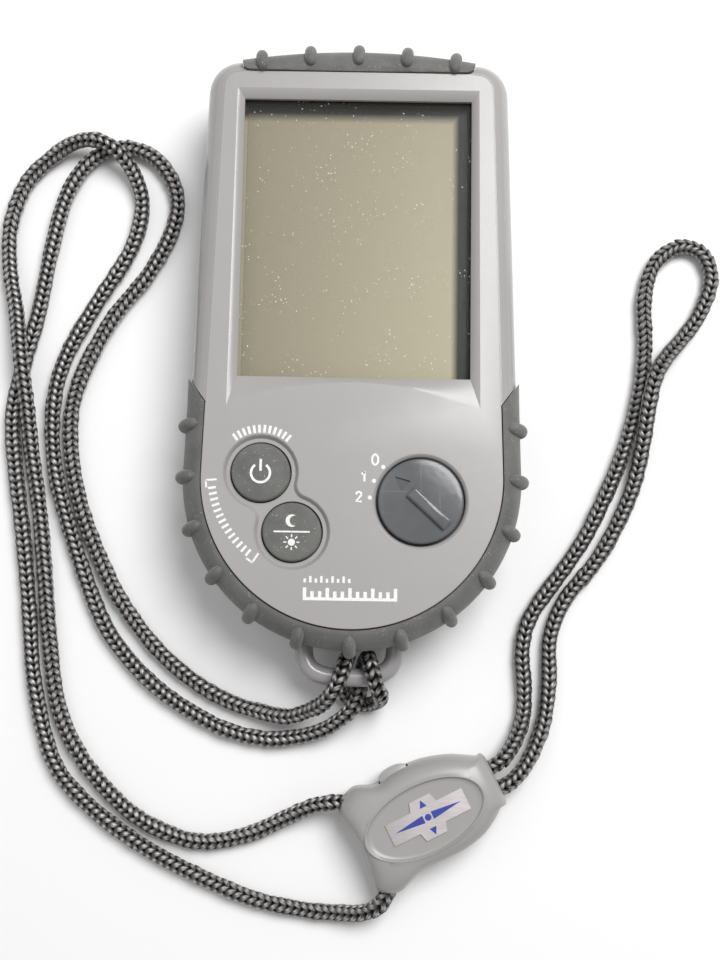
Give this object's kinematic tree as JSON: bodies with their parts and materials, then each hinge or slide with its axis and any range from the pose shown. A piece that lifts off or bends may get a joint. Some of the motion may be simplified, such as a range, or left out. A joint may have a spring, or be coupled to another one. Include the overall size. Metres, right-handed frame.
{
  "type": "digital compass",
  "caption": "Hand-held digital compass with alarm, large display, rubber bumpers, two buttons, a turning switch and a braided neck lanyard with a sliding cord lock.",
  "frame": {"origin": "centre of the underside of the case, bumpers and lanyard loop, on the surface it lies on; the lanyard's free cord is not counted", "axes": "lying on its back: +X to the right across the face, +Y up the face from the lanyard loop towards the display's top, +Z out of the face"},
  "size_m": [0.1579, 0.1827, 0.0239],
  "materials": {
    "case_grey": "warm grey moulded plastic with a fine satin grain",
    "rubber_dark": "dark grey rubber",
    "loop_grey": "smooth mid-grey plastic",
    "lock_grey": "smooth satin mid-grey plastic",
    "label_silver": "silver printed label plate",
    "knob_blue_grey": "semi-gloss blue-grey plastic",
    "clear_lens": "clear acrylic window",
    "lcd_green_grey": "reflective display glass, display off",
    "dark_plastic": "black plastic",
    "white_plastic": "white plastic",
    "zebra_rubber": "soft pink rubber strip",
    "board_green": "green circuit board",
    "steel": "plain steel",
    "brass": "plain brass",
    "cell_jacket": "plain dark blue jacket",
    "cord_braid": "braided nylon, dark grey with light grey yarns"
  },
  "bodies": {
    "case": {"front_shell": "case_grey", "rear_shell": "case_grey", "side_bumper": "rubber_dark", "top_bumper": "rubber_dark", "lanyard_loop": "loop_grey", "window_lens": "clear_lens", "lcd_bezel": "dark_plastic", "lcd_glass": "lcd_green_grey", "backlight_panel": "white_plastic", "backlight_led": "white_plastic", "zebra_strip": "zebra_rubber", "main_board": "board_green", "board_screw_1": "steel", "board_screw_2": "steel", "power_dome": "steel", "light_dome": "steel", "controller_chip": "dark_plastic", "magnetic_sensor": "dark_plastic", "buzzer": "dark_plastic", "detent_spring": "steel", "battery_cell_1": "cell_jacket", "battery_cell_2": "cell_jacket", "battery_spring_1": "steel", "battery_spring_2": "steel", "battery_contact_left": "steel", "battery_contact_right": "steel", "case_screw_1": "steel", "case_screw_2": "steel", "case_screw_3": "steel", "case_screw_4": "steel", "lock_front_shell": "lock_grey", "lock_back_shell": "lock_grey", "lock_spring": "steel", "lock_label_plate": "label_silver", "neck_cord_a": "cord_braid", "neck_cord_b": "cord_braid", "cord_hitch": "cord_braid", "wrist_cord": "cord_braid"},
    "power_button": {"power_button": "rubber_dark"},
    "light_button": {"light_button": "rubber_dark"},
    "alarm_knob": {"alarm_knob": "knob_blue_grey", "knob_wiper": "brass"},
    "battery_cover": {"battery_cover": "case_grey"},
    "lock_button": {"lock_button": "lock_grey"}
  },
  "joints": [
    {"name": "power_button_press", "type": "slide", "parent": "case", "child": "power_button", "axis": [0, 0, -1], "range_m": [0, 0.0008], "stiffness_N_per_m": 600},
    {"name": "light_button_press", "type": "slide", "parent": "case", "child": "light_button", "axis": [0, 0, -1], "range_m": [0, 0.0008], "stiffness_N_per_m": 600},
    {"name": "alarm_knob_turn", "type": "hinge", "parent": "case", "child": "alarm_knob", "pos_m": [0.0138, -0.0303, 0.02], "axis": [0, 0, 1], "range_deg": [0, 38.4]},
    {"name": "battery_cover_swing", "type": "hinge", "parent": "case", "child": "battery_cover", "pos_m": [0, 0.0127, 0.0003], "axis": [-1, 0, 0], "range_deg": [0, 75]},
    {"name": "lock_button_press", "type": "slide", "parent": "case", "child": "lock_button", "axis": [0.454, -0.891, 0], "range_m": [0, 0.002], "stiffness_N_per_m": 400}
  ]
}
